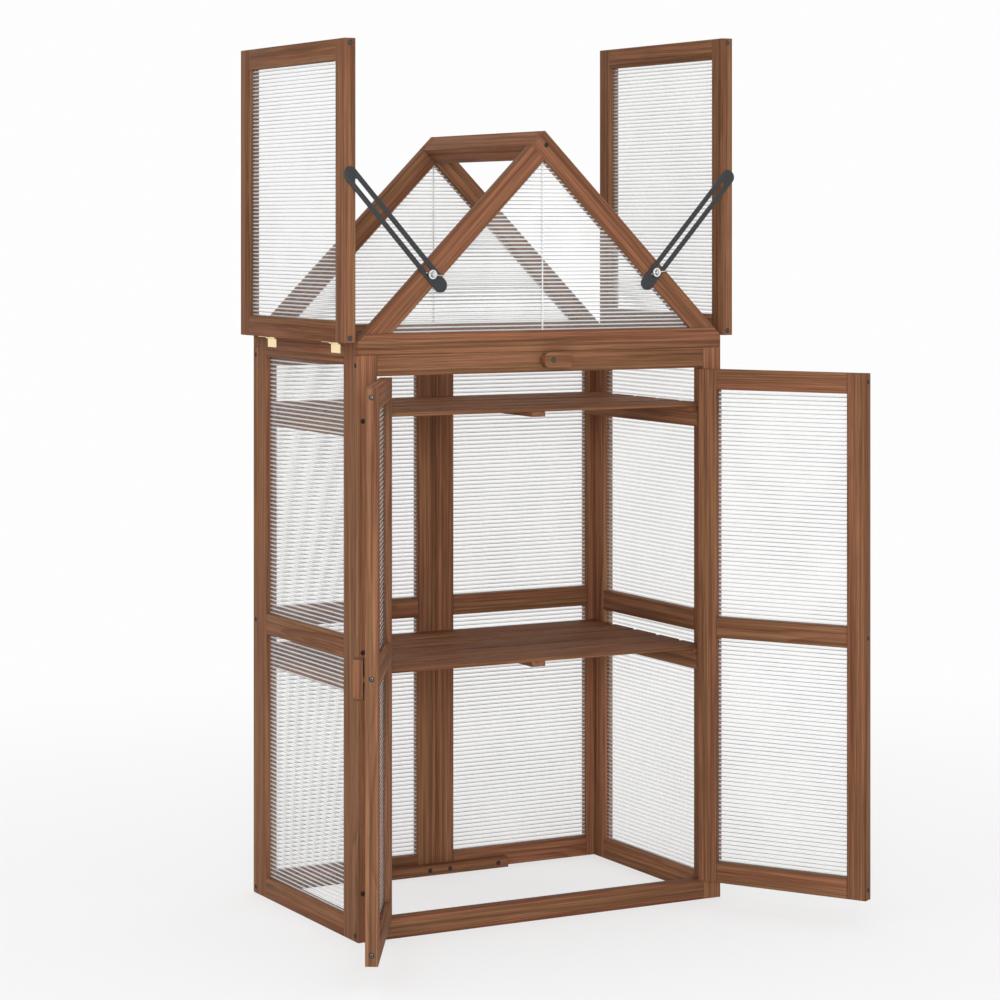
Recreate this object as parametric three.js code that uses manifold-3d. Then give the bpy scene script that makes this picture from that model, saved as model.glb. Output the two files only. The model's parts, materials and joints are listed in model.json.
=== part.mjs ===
// A small wooden greenhouse with two doors, two lifting roof flaps and two slatted shelves.
// Millimetres, +Z up. The front faces -Y and the doors swing out towards it.
// The origin is the middle of the front sill's underside.
import * as THREE from "three";
import { mergeVertices } from "three/addons/utils/BufferGeometryUtils.js";
import Module from "manifold-3d";

// Body: a 762 mm wide house with a 45 degree roof, which a square ridge beam on its edge fits
const bodyWidth = 762;
const bodyDepth = 461;
const frontHeight = 1043;
const eavesRise = 24; // from the top of the front frame to the edge of the roof slope
const roofPitch = Math.PI / 4;

// Timber: one planed section makes every frame
const timberWidth = 38;
const timberThickness = 22;
const midRailHeight = 519; // centre line of the middle rails of the sides and doors
const backMidRailHeight = 524;
const sideTopRailWidth = 41;
const sideTopGap = 1.5; // the side frames stop this far under the roof line
const backJointGap = 1.5; // between the two frames that make the back
const stripLength = 305; // batten that joins the two back frames at the foot
const stripHeight = 20;
const stripThickness = 18;

// Sheets: clear sheet held in grooves at the middle of the timber
const sheetThickness = 4;
const sheetFacePlay = 0.3;
const sheetEdgePlay = 0.5;
const grooveDepth = 8;

// Doors: a pair, flush with the front when shut, as far open as they stand at rest
const doorHingeGap = 0.8;
const doorMeetingGap = 2;
const doorFootGap = 2.5;
const doorHeadGap = 1.5;
const leftDoorRestAngle = THREE.MathUtils.degToRad(120.2);
const rightDoorRestAngle = THREE.MathUtils.degToRad(121);
const doorHingeInset = 160; // door end to the middle of its hinge

// Roof flaps: they hang upright outside the sides when open and lie on the gables when shut
const flapSideGap = 4.5;
const flapRoofGap = 0.35;

// Butt hinges, all of one size
const hingeLength = 39;
const hingeLeafWidth = 18; // pin axis to the far edge of the leaf
const leafThickness = 1.2;
const pinRadius = 1.1;
const barrelRadius = 2.5;
const pinPlay = 0.15;
const knuckleGap = 0.3;
const barrelWoodGap = 0.4;
const leafMeetingGap = 0.1; // pin axis to the face of a let-in leaf
const mortisePlay = 0.3;
const flapHingeInset = 90; // flap end to the middle of its hinge
const knuckleCount = 5;

// Roof stays: a slotted arm on each flap and a clamp bolt with a wing nut on the front rafter
const stayWidth = 27;
const stayThickness = 2.5;
const staySlotWidth = 8;
const staySlotStart = 12.5; // pivot to the upper end of the slot
const stayTail = 40; // past the bolt when the flap is open
const stayPivotRise = 299.7; // foot of the flap to the arm's pivot
const stayBoltReach = 187; // eaves to the bolt, along the rafter
const staySeatGap = 0.4;
const boltRadius = 3;
const boltSlotPlay = 0.4;
const washerRadius = 8.5;
const washerThickness = 1.2;
const nutRadius = 6.2;
const nutLength = 7;
const boltTip = 3; // what shows in front of the nut
const wingSpan = 38;
const wingRadius = 5.5;
const wingThickness = 3;
const wingRise = 5; // from the back of the nut to the middle of the wings
const wingTilt = THREE.MathUtils.degToRad(10);

// Turn buttons
const buttonWidth = 30;
const buttonThickness = 17;
const buttonStandOff = 3.6;
const buttonSpacerRadius = 8;
const buttonSeatGap = 0.3;
const headerButtonLong = 39; // pivot to the square end
const headerButtonShort = 19; // pivot to the round end
const headerButtonOffset = 5.8; // pivot to the middle of the header
const headerButtonRise = 3.3; // pivot above the header's own middle
const doorButtonLength = 71;
const doorButtonDrop = 3.5; // middle rail's centre line to the button's pivot

// Shelves: five slats on three battens, resting on cleats
const upperShelfDrop = 67.5; // underside of the header to the top of the slats
const lowerShelfDrop = 47; // centre line of the back's middle rails to the top of the slats
const slatThickness = 7.4;
const slatCount = 5;
const slatGap = 15;
const shelfSideGap = 1;
const shelfEndGap = 3;
const battenWidth = 29;
const battenHeight = 9;
const cleatHeight = 29;
const cleatThickness = 18;

// How far cuts run past the face that they go through, and the sides of the round pieces
const overrun = 1;
const roundSides = 16;

function railEdges(centreLine) {
  return [centreLine - timberWidth / 2, centreLine + timberWidth / 2];
}

// Lines and planes that follow from those sizes
const halfWidth = bodyWidth / 2;
const frontFace = -timberThickness / 2;
const backFace = frontFace + bodyDepth;
const innerFront = frontFace + timberThickness;
const innerBack = backFace - timberThickness;
const innerSide = halfWidth - timberThickness;
const sill = timberWidth;
const header = frontHeight - timberWidth;
const eavesHeight = frontHeight + eavesRise;
const apexHeight = eavesHeight + halfWidth * Math.tan(roofPitch);
const slopeLength = halfWidth / Math.cos(roofPitch);
const sideHeight = eavesHeight - sideTopGap;
const [midRailLow, midRailHigh] = railEdges(midRailHeight);
const [backMidRailLow, backMidRailHigh] = railEdges(backMidRailHeight);
const grooveWidth = sheetThickness + 2 * sheetFacePlay;
const sheetReach = grooveDepth - sheetEdgePlay;

// Hinge pins: each stands off its surface by the barrel and a little air
const pinStandOff = barrelRadius + barrelWoodGap;
const plateStart = barrelRadius + knuckleGap;
const letInOffset = leafMeetingGap + leafThickness;
const doorPinSide = halfWidth - timberWidth - doorHingeGap / 2;
const doorPinFront = frontFace - pinStandOff;
const doorLow = sill + doorFootGap;
const doorHigh = header - doorHeadGap;
const doorWidth = doorPinSide - (doorHingeGap + doorMeetingGap) / 2;
const doorHingeHeights = [doorHigh - doorHingeInset, doorLow + doorHingeInset];
const flapPinSide = halfWidth + pinStandOff;
const flapInnerOffset = pinStandOff - flapSideGap;
const flapPinHeight = eavesHeight
  + (flapInnerOffset + flapRoofGap - pinStandOff * Math.sin(roofPitch)) / Math.cos(roofPitch);
const flapHingeDepths = [frontFace + flapHingeInset, backFace - flapHingeInset];

// A shut flap starts at its foot and ends where it meets the other: one flap laps over the end of its pair
const flapFootAlong = pinStandOff
  - pinStandOff * Math.cos(roofPitch) + (flapPinHeight - eavesHeight) * Math.sin(roofPitch);
const flapLength = slopeLength - flapFootAlong;
const lappingFlapLength = flapLength + flapRoofGap + timberThickness;

// Finishes
const timber = new THREE.MeshStandardMaterial({ color: 0x825a43, roughness: 0.62, metalness: 0 });
const sheet = new THREE.MeshStandardMaterial({
  color: 0xe9eeee, roughness: 0.25, metalness: 0, transparent: true, opacity: 0.45,
});
const brass = new THREE.MeshStandardMaterial({ color: 0xc2a05a, roughness: 0.35, metalness: 1 });
const blackSteel = new THREE.MeshStandardMaterial({ color: 0x1b1b1c, roughness: 0.45, metalness: 0.6 });
const brightSteel = new THREE.MeshStandardMaterial({ color: 0xc9cbcc, roughness: 0.25, metalness: 1 });

// Solids that can be joined and cut
const wasm = await Module();
wasm.setup();

function solid(geometry) {
  const shell = geometry.clone();
  shell.deleteAttribute("normal");
  shell.deleteAttribute("uv");
  const merged = mergeVertices(shell);
  const vertProperties = Float32Array.from(merged.attributes.position.array);
  const triVerts = Uint32Array.from(merged.index.array);
  return new wasm.Manifold(new wasm.Mesh({ numProp: 3, vertProperties, triVerts }));
}

function geometryOf(shape) {
  const mesh = shape.getMesh();
  const geometry = new THREE.BufferGeometry();
  geometry.setAttribute("position", new THREE.BufferAttribute(mesh.vertProperties, mesh.numProp));
  geometry.setIndex(new THREE.BufferAttribute(mesh.triVerts, 1));
  geometry.computeVertexNormals();
  return geometry;
}

function joined(geometries) {
  return geometries.map(solid).reduce((whole, next) => whole.add(next));
}

function cut(whole, tools) {
  return tools.reduce((rest, tool) => rest.subtract(solid(tool)), whole);
}

// A block between two corners, given in any order
function block(corner, opposite) {
  const corners = [new THREE.Vector3(...corner), new THREE.Vector3(...opposite)];
  const box = new THREE.Box3().setFromPoints(corners);
  const size = box.getSize(new THREE.Vector3());
  const centre = box.getCenter(new THREE.Vector3());
  return new THREE.BoxGeometry(size.x, size.y, size.z).translate(centre.x, centre.y, centre.z);
}

// A round bar along Y, and one along Z
function barAlongY(radius, from, to) {
  return new THREE.CylinderGeometry(radius, radius, Math.abs(to - from), roundSides)
    .translate(0, (from + to) / 2, 0);
}

function barAlongZ(radius, from, to) {
  return barAlongY(radius, from, to).rotateX(Math.PI / 2);
}

// An outline in X and Z, made into a board that runs from one Y to another
function board(outline, from, to) {
  const depth = Math.abs(to - from);
  return new THREE.ExtrudeGeometry(outline, { depth, bevelEnabled: false, curveSegments: roundSides / 2 })
    .translate(0, 0, -depth / 2)
    .rotateX(Math.PI / 2)
    .translate(0, (from + to) / 2, 0);
}

function outlineOf(corners) {
  return new THREE.Shape(corners.map(([x, z]) => new THREE.Vector2(x, z)));
}

function rectangle(left, right, low, high) {
  return outlineOf([[left, low], [right, low], [right, high], [left, high]]);
}

// The groove for a sheet and the sheet itself, both at the middle of the timber
function grooveIn(outline, middle) {
  return board(outline, middle - grooveWidth / 2, middle + grooveWidth / 2);
}

function sheetIn(outline, middle) {
  return board(outline, middle - sheetThickness / 2, middle + sheetThickness / 2);
}

// A frame of timber with a groove round each window, and the sheets that its grooves hold
function ladderFrame({ left, right, low, high, windows, front }) {
  const back = front + timberThickness;
  const middle = (front + back) / 2;
  const outline = rectangle(left, right, low, high);
  const insideLeft = left + timberWidth;
  const insideRight = right - timberWidth;
  const grown = ([foot, head], reach) =>
    rectangle(insideLeft - reach, insideRight + reach, foot - reach, head + reach);
  outline.holes = windows.map((window) => grown(window, 0));
  const grooves = windows.map((window) => grooveIn(grown(window, grooveDepth), middle));
  const sheets = windows.map((window) => sheetIn(grown(window, sheetReach), middle));
  const frame = cut(solid(board(outline, front, back)), grooves);
  return { frame, sheets };
}

// The tree of pieces
const greenhouse = new THREE.Group();

function piece(name, geometry, finish, parent = greenhouse) {
  const mesh = new THREE.Mesh(geometry, finish.clone());
  mesh.name = name;
  parent.add(mesh);
  return mesh;
}

function joint(x, y, z, parent = greenhouse) {
  const group = new THREE.Group();
  group.position.set(x, y, z);
  parent.add(group);
  return group;
}

// side is -1 on the left and 1 on the right
const sides = [["left", -1], ["right", 1]];

// Hinge leaf: the pin axis is Z, the leaf runs along +X and its back is pinOffset out on +Y.
// The fixed leaf has the outer and middle knuckles and the pin, the moving leaf has the bored ones between.
function hingeLeaf(pinOffset, carriesPin) {
  const knuckleLength = hingeLength / knuckleCount;
  const front = pinOffset - leafThickness;
  const plate = block([plateStart, front, -hingeLength / 2], [hingeLeafWidth, pinOffset, hingeLength / 2]);
  const shapes = [plate];
  for (let index = carriesPin ? 0 : 1; index < knuckleCount; index += 2) {
    const footTrim = index > 0 ? knuckleGap / 2 : 0;
    const headTrim = index < knuckleCount - 1 ? knuckleGap / 2 : 0;
    const low = index * knuckleLength - hingeLength / 2 + footTrim;
    const high = (index + 1) * knuckleLength - hingeLength / 2 - headTrim;
    shapes.push(barAlongZ(barrelRadius, low, high));
    shapes.push(block([0, front, low], [plateStart + knuckleGap, pinOffset, high]));
  }
  if (carriesPin) {
    shapes.push(barAlongZ(pinRadius, -hingeLength / 2, hingeLength / 2));
    return geometryOf(joined(shapes));
  }
  const boreRadius = (pinRadius + pinPlay) / Math.cos(Math.PI / roundSides);
  const bore = barAlongZ(boreRadius, -hingeLength / 2 - overrun, hingeLength / 2 + overrun);
  return geometryOf(joined(shapes).subtract(solid(bore)));
}

// Turns a leaf so that it runs along one direction with its back towards another
function aimed(geometry, along, back) {
  const x = new THREE.Vector3(...along);
  const y = new THREE.Vector3(...back);
  const z = new THREE.Vector3().crossVectors(x, y);
  return geometry.applyMatrix4(new THREE.Matrix4().makeBasis(x, y, z));
}

// The pocket in a timber's edge that takes a let-in leaf. side points from the pin into that timber.
function mortise(x, y, z, side) {
  const depth = letInOffset + mortisePlay;
  const halfLength = hingeLength / 2 + mortisePlay;
  const reach = hingeLeafWidth + mortisePlay;
  return block([x, y, z - halfLength], [x + side * depth, y + reach, z + halfLength]);
}

function buildFront() {
  const between = halfWidth - timberWidth;
  for (const [name, side] of sides) {
    const post = block([side * halfWidth, frontFace, 0], [side * between, innerFront, frontHeight]);
    const pockets = doorHingeHeights.map((z) => mortise(side * doorPinSide, doorPinFront, z, side));
    piece(`front_${name}_post`, geometryOf(cut(solid(post), pockets)), timber);
  }
  piece("front_sill", block([-between, frontFace, 0], [between, innerFront, sill]), timber);
  piece("front_header", block([-between, frontFace, header], [between, innerFront, frontHeight]), timber);
}

function buildSides() {
  const windows = [[timberWidth, midRailLow], [midRailHigh, sideHeight - sideTopRailWidth]];
  const depth = innerBack - innerFront;
  for (const [name, side] of sides) {
    const { frame, sheets } = ladderFrame({
      left: 0, right: depth, low: 0, high: sideHeight, windows, front: -timberThickness / 2,
    });
    const [lower, upper] = sheets;
    const wall = joint(side * (halfWidth - timberThickness / 2), innerFront, 0);
    wall.rotation.z = Math.PI / 2;
    piece(`${name}_side_frame`, geometryOf(frame), timber, wall);
    piece(`${name}_side_lower_sheet`, lower, sheet, wall);
    piece(`${name}_side_upper_sheet`, upper, sheet, wall);
  }
}

function buildBack() {
  const windows = [[timberWidth, backMidRailLow], [backMidRailHigh, header]];
  for (const [name, side] of sides) {
    const [left, right] = [side * halfWidth, side * backJointGap / 2].sort((a, b) => a - b);
    const { frame, sheets } = ladderFrame({
      left, right, low: 0, high: frontHeight, windows, front: innerBack,
    });
    const [lower, upper] = sheets;
    piece(`back_${name}_frame`, geometryOf(frame), timber);
    piece(`back_${name}_lower_sheet`, lower, sheet);
    piece(`back_${name}_upper_sheet`, upper, sheet);
  }
  const stripFront = innerBack - stripThickness;
  const strip = block([-stripLength / 2, stripFront, 0], [stripLength / 2, innerBack, stripHeight]);
  piece("back_joining_strip", strip, timber);
}

// The roof triangle between the base rail and the rafters, its three sides moved in by an inset
function gableTriangle(inset) {
  const base = frontHeight + inset;
  const fall = inset / Math.cos(roofPitch);
  const footX = halfWidth - (base - eavesHeight + fall) / Math.tan(roofPitch);
  return outlineOf([[-footX, base], [footX, base], [0, apexHeight - fall]]);
}

function buildGable(name, front) {
  const outline = outlineOf([
    [-halfWidth, frontHeight], [halfWidth, frontHeight], [halfWidth, eavesHeight],
    [0, apexHeight], [-halfWidth, eavesHeight],
  ]);
  outline.holes = [gableTriangle(timberWidth)];
  const back = front + timberThickness;
  const middle = (front + back) / 2;
  const groove = grooveIn(gableTriangle(timberWidth - grooveDepth), middle);
  piece(`${name}_gable_frame`, geometryOf(cut(solid(board(outline, front, back)), [groove])), timber);
  piece(`${name}_gable_sheet`, sheetIn(gableTriangle(timberWidth - sheetReach), middle), sheet);
}

function buildRidge() {
  const halfDiagonal = timberWidth / Math.SQRT2;
  const outline = outlineOf([
    [0, apexHeight], [-halfDiagonal, apexHeight - halfDiagonal],
    [0, apexHeight - 2 * halfDiagonal], [halfDiagonal, apexHeight - halfDiagonal],
  ]);
  piece("ridge_beam", board(outline, innerFront, innerBack), timber);
}

function turnButton(long, short, front) {
  const radius = buttonWidth / 2;
  const outline = new THREE.Shape();
  outline.moveTo(-short + radius, -radius);
  outline.lineTo(long, -radius);
  outline.lineTo(long, radius);
  outline.lineTo(-short + radius, radius);
  outline.absarc(-short + radius, 0, radius, Math.PI / 2, Math.PI * 3 / 2, false);
  const back = front - buttonStandOff;
  const spacer = barAlongY(buttonSpacerRadius, front - buttonSeatGap, back - overrun);
  return geometryOf(joined([board(outline, back, back - buttonThickness), spacer]));
}

// Each door hangs in a group at its hinge pins. It is built shut and then turned to stand open.
function buildDoors() {
  const restAngles = { left: leftDoorRestAngle, right: rightDoorRestAngle };
  for (const [name, side] of sides) {
    const hinge = joint(side * doorPinSide, doorPinFront, 0);
    hinge.rotation.z = side * restAngles[name];
    const hingeEdge = -side * doorHingeGap / 2;
    const freeEdge = hingeEdge - side * doorWidth;
    const [left, right] = [hingeEdge, freeEdge].sort((a, b) => a - b);
    const windows = [[doorLow + timberWidth, midRailLow], [midRailHigh, doorHigh - timberWidth]];
    const { frame, sheets } = ladderFrame({
      left, right, low: doorLow, high: doorHigh, windows, front: pinStandOff,
    });
    const pockets = doorHingeHeights.map((z) => mortise(0, 0, z, -side));
    const [lower, upper] = sheets;
    piece(`${name}_door_frame`, geometryOf(cut(frame, pockets)), timber, hinge);
    piece(`${name}_door_lower_sheet`, lower, sheet, hinge);
    piece(`${name}_door_upper_sheet`, upper, sheet, hinge);
    doorHingeHeights.forEach((z, index) => {
      const place = ["upper", "lower"][index];
      const fixed = aimed(hingeLeaf(letInOffset, true), [0, 1, 0], [side, 0, 0]);
      const moving = aimed(hingeLeaf(letInOffset, false), [0, 1, 0], [-side, 0, 0]);
      const seat = joint(side * doorPinSide, doorPinFront, z);
      piece(`${name}_door_${place}_hinge_post_leaf`, fixed, brass, seat);
      piece(`${name}_door_${place}_hinge_door_leaf`, moving, brass, hinge).position.z = z;
    });
    if (name === "left") {
      buildDoorButton(hinge, freeEdge - timberWidth / 2);
    }
  }
}

function buildDoorButton(hinge, x) {
  const button = joint(x, 0, midRailHeight - doorButtonDrop, hinge);
  button.rotation.y = -Math.PI / 2;
  const half = doorButtonLength / 2;
  piece("door_turn_button", turnButton(half, half, pinStandOff), timber, button);
}

function buildHeaderButton() {
  const pivot = joint(headerButtonOffset, 0, header + timberWidth / 2 + headerButtonRise);
  const shape = turnButton(headerButtonLong, headerButtonShort, frontFace);
  piece("header_turn_button", shape, timber, pivot);
}

// Each flap hangs in a group at its hinge pins, in its open pose
function buildFlaps() {
  for (const [name, side] of sides) {
    const hinge = joint(side * flapPinSide, 0, flapPinHeight);
    const length = side < 0 ? flapLength : lappingFlapLength;
    const { frame, sheets } = ladderFrame({
      left: frontFace, right: backFace, low: pinStandOff, high: pinStandOff + length,
      windows: [[pinStandOff + timberWidth, pinStandOff + length - timberWidth]], front: -timberThickness / 2,
    });
    const leaf = joint(side * (timberThickness / 2 - flapInnerOffset), 0, 0, hinge);
    leaf.rotation.z = Math.PI / 2;
    piece(`${name}_flap_frame`, geometryOf(frame), timber, leaf);
    piece(`${name}_flap_sheet`, sheets[0], sheet, leaf);
    flapHingeDepths.forEach((y, index) => {
      const place = ["front", "back"][index];
      const fixed = aimed(hingeLeaf(pinStandOff, true), [0, 0, -1], [-side, 0, 0]);
      const moving = aimed(hingeLeaf(pinStandOff, false), [side, 0, 0], [0, 0, 1]);
      const seat = joint(side * flapPinSide, y, flapPinHeight);
      piece(`${name}_flap_${place}_hinge_side_leaf`, fixed, brass, seat);
      piece(`${name}_flap_${place}_hinge_flap_leaf`, moving, brass, hinge).position.y = y;
    });
    buildStay(name, side, hinge);
  }
}

// The arm turns on the flap's front edge. Its slot slides over the bolt on the rafter.
function buildStay(name, side, hinge) {
  const pivotX = side * (timberThickness / 2 - flapInnerOffset);
  const pivotZ = pinStandOff + stayPivotRise;
  const halfTimber = timberWidth / 2;
  const boltX = side * (halfWidth - stayBoltReach * Math.cos(roofPitch) - halfTimber * Math.sin(roofPitch));
  const boltZ = eavesHeight + stayBoltReach * Math.sin(roofPitch) - halfTimber * Math.cos(roofPitch);
  const runX = boltX - side * flapPinSide - pivotX;
  const runZ = boltZ - flapPinHeight - pivotZ;
  const reach = Math.hypot(runX, runZ);
  const arm = joint(pivotX, 0, pivotZ, hinge);
  arm.rotation.y = Math.atan2(-runZ, runX);
  piece(`${name}_stay_arm`, stayArm(reach), blackSteel, arm);
  const clamp = joint(reach, 0, 0, arm);
  clamp.rotation.y = -side * wingTilt - arm.rotation.y;
  piece(`${name}_stay_clamp`, clampBolt(), brightSteel, clamp);
}

function stadium(from, to, width) {
  const radius = width / 2;
  const outline = new THREE.Shape();
  outline.absarc(to, 0, radius, -Math.PI / 2, Math.PI / 2, false);
  outline.absarc(from, 0, radius, Math.PI / 2, Math.PI * 3 / 2, false);
  return outline;
}

function stayArm(reach) {
  const back = frontFace - staySeatGap;
  const tail = reach + stayTail - stayWidth / 2;
  const outline = stadium(0, tail, stayWidth);
  outline.holes = [stadium(staySlotStart + staySlotWidth / 2, reach + boltSlotPlay, staySlotWidth)];
  return board(outline, back, back - stayThickness);
}

function clampBolt() {
  const armFront = frontFace - staySeatGap - stayThickness;
  const washerBack = armFront - staySeatGap;
  const nutBack = washerBack - washerThickness;
  const nutFront = nutBack - nutLength;
  const wingMiddle = nutBack - wingRise;
  const wingReach = wingSpan / 2 - wingRadius;
  const shapes = [
    barAlongY(boltRadius, frontFace - staySeatGap, nutFront - boltTip),
    barAlongY(washerRadius, washerBack, nutBack),
    barAlongY(nutRadius, nutBack, nutFront),
    block([-wingReach, nutBack - (wingRise - wingRadius / 2), -wingThickness / 2],
      [wingReach, wingMiddle - wingRadius / 2, wingThickness / 2]),
  ];
  for (const [, side] of sides) {
    shapes.push(barAlongZ(wingRadius, -wingThickness / 2, wingThickness / 2)
      .translate(side * wingReach, wingMiddle - wingRadius / 2, 0));
  }
  return geometryOf(joined(shapes));
}

function shelf(height) {
  const left = -(innerSide - shelfSideGap);
  const front = innerFront + shelfEndGap;
  const depth = innerBack - innerFront - 2 * shelfEndGap;
  const slatWidth = (depth - (slatCount - 1) * slatGap) / slatCount;
  const underside = height - slatThickness;
  const shapes = [];
  for (let index = 0; index < slatCount; index += 1) {
    const near = front + index * (slatWidth + slatGap);
    shapes.push(block([left, near, underside], [-left, near + slatWidth, height]));
  }
  for (const x of [left, -battenWidth / 2, -left - battenWidth]) {
    shapes.push(block([x, front, underside - battenHeight], [x + battenWidth, front + depth, underside]));
  }
  return geometryOf(joined(shapes));
}

function buildShelves() {
  for (const [name, height] of [["upper", header - upperShelfDrop], ["lower", backMidRailHeight - lowerShelfDrop]]) {
    const cleatTop = height - slatThickness - battenHeight;
    for (const [sideName, side] of sides) {
      const cleat = block([side * innerSide, innerFront, cleatTop - cleatHeight],
        [side * (innerSide - cleatThickness), innerBack, cleatTop]);
      piece(`${name}_${sideName}_cleat`, cleat, timber);
    }
    piece(`${name}_shelf`, shelf(height), timber);
  }
}

buildFront();
buildSides();
buildBack();
buildGable("front", frontFace);
buildGable("back", innerBack);
buildRidge();
buildShelves();
buildDoors();
buildHeaderButton();
buildFlaps();

export default greenhouse;
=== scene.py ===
# %% [markdown]
# # A wooden mini greenhouse
#
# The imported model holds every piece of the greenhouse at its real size, and its bodies move.
# This lesson dresses that model: planed boards with eased edges instead of bare blocks, ribbed
# clear sheets, screws, brass hinges, black stays with wing nuts, and the light of a pale studio.
# Everything is in metres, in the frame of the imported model: X to the right, Y to the back, Z up.

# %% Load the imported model
import json
import math
import random

import bmesh
import bpy
from mathutils import Matrix, Vector


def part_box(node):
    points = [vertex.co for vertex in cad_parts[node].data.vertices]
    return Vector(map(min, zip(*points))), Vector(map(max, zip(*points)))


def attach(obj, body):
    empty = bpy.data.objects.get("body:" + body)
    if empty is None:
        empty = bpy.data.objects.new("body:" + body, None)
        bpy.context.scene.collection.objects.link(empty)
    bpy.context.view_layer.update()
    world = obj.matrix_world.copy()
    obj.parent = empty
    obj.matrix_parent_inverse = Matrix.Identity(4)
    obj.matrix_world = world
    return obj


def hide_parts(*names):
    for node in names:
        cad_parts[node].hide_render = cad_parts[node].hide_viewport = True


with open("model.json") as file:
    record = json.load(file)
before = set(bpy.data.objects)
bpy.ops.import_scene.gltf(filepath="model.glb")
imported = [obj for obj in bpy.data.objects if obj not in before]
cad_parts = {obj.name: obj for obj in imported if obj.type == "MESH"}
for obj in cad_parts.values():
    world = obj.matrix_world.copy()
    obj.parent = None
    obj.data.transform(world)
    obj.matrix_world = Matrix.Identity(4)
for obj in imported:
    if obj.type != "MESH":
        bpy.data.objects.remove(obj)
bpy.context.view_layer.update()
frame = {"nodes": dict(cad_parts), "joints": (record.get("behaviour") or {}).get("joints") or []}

# %% [markdown]
# ## The camera
#
# The picture that this scene follows was taken with a long lens from the front left, level, at
# about the height of the eaves. A level camera keeps upright edges upright. The object is then
# brought into the picture by a lens shift, as a product photographer would do it.

# %% Place the camera
CAMERA_PLACE = Vector((-2.6472, -4.7305, 1.2789))
CAMERA_TURN = math.radians(-28.408)
CAMERA_LENS = 106.12
CAMERA_SENSOR = 36.0
CAMERA_SHIFT = -0.2774

camera_data = bpy.data.cameras.new("camera")
camera_data.lens = CAMERA_LENS
camera_data.sensor_width = CAMERA_SENSOR
camera_data.shift_y = CAMERA_SHIFT
camera = bpy.data.objects.new("camera", camera_data)
camera.location = CAMERA_PLACE
camera.rotation_euler = (math.pi / 2, 0, CAMERA_TURN)
bpy.context.scene.collection.objects.link(camera)
bpy.context.scene.camera = camera
print("camera at", tuple(camera.location))

# %% [markdown]
# ## Building a material from nodes
#
# Every finish here is procedural, so a few short helpers keep the node trees readable. They add a
# node and set its sockets, do arithmetic, lay noise over a piece and start a Principled material.

# %% Helpers for node trees
def add_node(tree, kind, **sockets):
    node = tree.nodes.new(kind)
    for name, value in sockets.items():
        feed(tree, node.inputs[name.replace("_", " ")], value)
    return node


def feed(tree, socket, value):
    if isinstance(value, bpy.types.NodeSocket):
        tree.links.new(value, socket)
    else:
        socket.default_value = value


def maths(tree, operation, first, second=0.0, third=0.0):
    node = tree.nodes.new("ShaderNodeMath")
    node.operation = operation
    for socket, value in zip(node.inputs, (first, second, third)):
        feed(tree, socket, value)
    return node.outputs[0]


def remap(tree, value, low, high, to_low=0.0, to_high=1.0, smooth=True):
    node = tree.nodes.new("ShaderNodeMapRange")
    node.interpolation_type = "SMOOTHSTEP" if smooth else "LINEAR"
    for name, number in zip(("Value", "From Min", "From Max", "To Min", "To Max"),
                            (value, low, high, to_low, to_high)):
        feed(tree, node.inputs[name], number)
    return node.outputs["Result"]


def attribute(tree, name, output):
    node = tree.nodes.new("ShaderNodeAttribute")
    node.attribute_name = name
    return node.outputs[output]


def stretched(tree, vector, along, across):
    """The vector, made finer along X and across it."""
    node = tree.nodes.new("ShaderNodeVectorMath")
    node.operation = "MULTIPLY"
    tree.links.new(vector, node.inputs[0])
    node.inputs[1].default_value = (along, across, across)
    return node.outputs[0]


def noise(tree, vector, detail=2.0, roughness=0.5):
    node = add_node(tree, "ShaderNodeTexNoise", Scale=1.0, Detail=detail, Roughness=roughness)
    tree.links.new(vector, node.inputs["Vector"])
    return node.outputs["Fac"]


def noise_over_piece(tree, fineness, detail=2.0):
    place = tree.nodes.new("ShaderNodeTexCoord")
    return noise(tree, stretched(tree, place.outputs["Object"], fineness, fineness), detail)


def scaled(tree, colour, level):
    node = tree.nodes.new("ShaderNodeVectorMath")
    node.operation = "SCALE"
    tree.links.new(colour, node.inputs[0])
    tree.links.new(level, node.inputs["Scale"])
    return node.outputs[0]


def mix_colour(tree, share, first, second):
    node = tree.nodes.new("ShaderNodeMix")
    node.data_type = "RGBA"
    feed(tree, node.inputs[0], share)
    feed(tree, node.inputs[6], first)
    feed(tree, node.inputs[7], second)
    return node.outputs[2]


def start_material(name):
    material = bpy.data.materials.new(name)
    material.use_nodes = True
    shader = material.node_tree.nodes["Principled BSDF"]
    return material, material.node_tree, shader


# %% [markdown]
# ## Picking and shaping
#
# Blender's edit operators work on what is picked. These helpers pick one piece, or some of its
# faces or edges, and start a piece as a block between two corners.

# %% Helpers for shapes
TOUCH = 1e-6
QUARTER_TURN = math.radians(90)
ROUND_SEGMENTS = 12
X, Y, Z = 0, 1, 2


def deselect():
    if bpy.context.object and bpy.context.object.mode != "OBJECT":
        bpy.ops.object.mode_set(mode="OBJECT")
    bpy.ops.object.select_all(action="DESELECT")


def pick(piece):
    deselect()
    piece.select_set(True)
    bpy.context.view_layer.objects.active = piece


def edit(piece):
    pick(piece)
    bpy.ops.object.mode_set(mode="EDIT")


def select_parts(piece, kind, test):
    """Selects the faces or the edges of a piece in edit mode that pass a test."""
    shape = bmesh.from_edit_mesh(piece.data)
    bpy.ops.mesh.select_mode(type=kind)
    bpy.ops.mesh.select_all(action="DESELECT")
    for part in shape.faces if kind == "FACE" else shape.edges:
        if test(part):
            part.select_set(True)
    bmesh.update_edit_mesh(piece.data)


def runs_along_y(edge):
    return abs(edge.verts[0].co.y - edge.verts[1].co.y) > TOUCH


def cuboid(low, high):
    deselect()
    bpy.ops.mesh.primitive_cube_add(size=1, location=(low + high) / 2, scale=high - low)
    bpy.ops.object.transform_apply(location=True, rotation=True, scale=True)
    return bpy.context.object


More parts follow.
